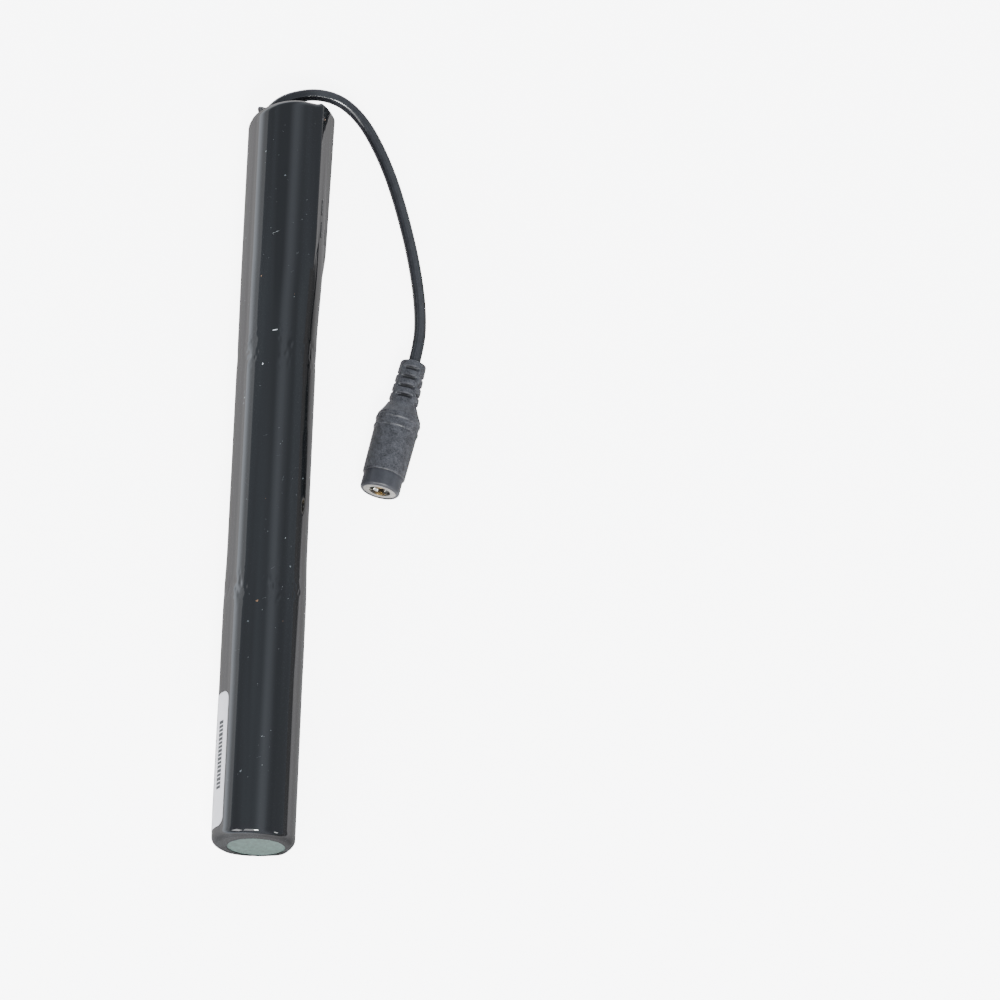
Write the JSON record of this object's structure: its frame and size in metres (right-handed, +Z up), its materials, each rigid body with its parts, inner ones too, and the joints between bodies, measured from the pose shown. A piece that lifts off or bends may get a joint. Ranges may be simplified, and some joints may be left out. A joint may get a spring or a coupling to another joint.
{
  "type": "cylindrical lithium-ion battery stick",
  "caption": "Slim battery stick of round cells end to end in a glossy black shrunk film, with an insulated end disc and a short lead ending in an inline barrel socket.",
  "frame": {"origin": "on the resting surface, under the middle of the wrapped stick", "axes": "+Y along the stick from its insulated base end to the end where the lead leaves, +Z up from the flat underside, +X towards the side where the lead and socket lie"},
  "size_m": [0.0497, 0.2119, 0.0217],
  "materials": {
    "film": "glossy shrunk PVC film",
    "label": "matt white sticker",
    "fish_paper": "grey-green vulcanised fibre",
    "black_card": "black fibre card",
    "foam": "closed-cell foam",
    "nickel": "rolled nickel strip",
    "board": "solder-masked glass-epoxy board",
    "clear_film": "polyimide film",
    "chip": "moulded epoxy",
    "black_wire": "PVC insulation",
    "red_wire": "PVC insulation",
    "white_wire": "PVC insulation",
    "lead": "satin PVC sheath",
    "socket_soft": "finely grained moulded PVC",
    "socket_hard": "satin moulded plastic",
    "nickel_plate": "nickel-plated brass",
    "jack_insulator": "brown moulded insulator",
    "pin_brass": "turned brass",
    "card": "kraft card",
    "steel_can": "nickel-plated deep-drawn steel",
    "seal": "polypropylene",
    "cell_jacket": "shrunk PVC sleeve",
    "electrode": "wound coated foils",
    "vent": "aluminium vent disc",
    "white_ring": "white insulating ring"
  },
  "bodies": {
    "root": {"base_disc": "fish_paper", "base_tab": "nickel", "board_insulation": "clear_film", "board_resistors": "chip", "cable_end": "lead", "card_shell_1": "card", "card_shell_2": "card", "card_shell_3": "card", "cell_1_can": "steel_can", "cell_1_electrode_roll": "electrode", "cell_1_jacket": "cell_jacket", "cell_1_positive_cap": "steel_can", "cell_1_roll_insulators": "seal", "cell_1_seal": "seal", "cell_1_top_ring": "white_ring", "cell_1_vent_disc": "vent", "cell_2_can": "steel_can", "cell_2_electrode_roll": "electrode", "cell_2_jacket": "cell_jacket", "cell_2_positive_cap": "steel_can", "cell_2_roll_insulators": "seal", "cell_2_seal": "seal", "cell_2_top_ring": "white_ring", "cell_2_vent_disc": "vent", "cell_3_can": "steel_can", "cell_3_electrode_roll": "electrode", "cell_3_jacket": "cell_jacket", "cell_3_positive_cap": "steel_can", "cell_3_roll_insulators": "seal", "cell_3_seal": "seal", "cell_3_top_ring": "white_ring", "cell_3_vent_disc": "vent", "control_chip": "chip", "end_pads": "foam", "film_cover": "film", "jack_contact": "nickel_plate", "jack_housing": "socket_hard", "jack_insulator": "jack_insulator", "jack_pin": "pin_brass", "joint_disc_1": "fish_paper", "joint_disc_2": "fish_paper", "lead_cable": "lead", "link_strip_1": "nickel", "link_strip_2": "nickel", "negative_core": "black_wire", "positive_core": "red_wire", "power_switches": "chip", "protection_board": "board", "rating_label": "label", "return_jumper": "black_wire", "return_leads": "black_wire", "sense_lead_1": "white_wire", "sense_lead_2": "white_wire", "socket_cable_end": "lead", "socket_cores": "black_wire", "socket_cover": "socket_soft", "top_disc": "black_card", "top_tab": "nickel"}
  },
  "joints": []
}
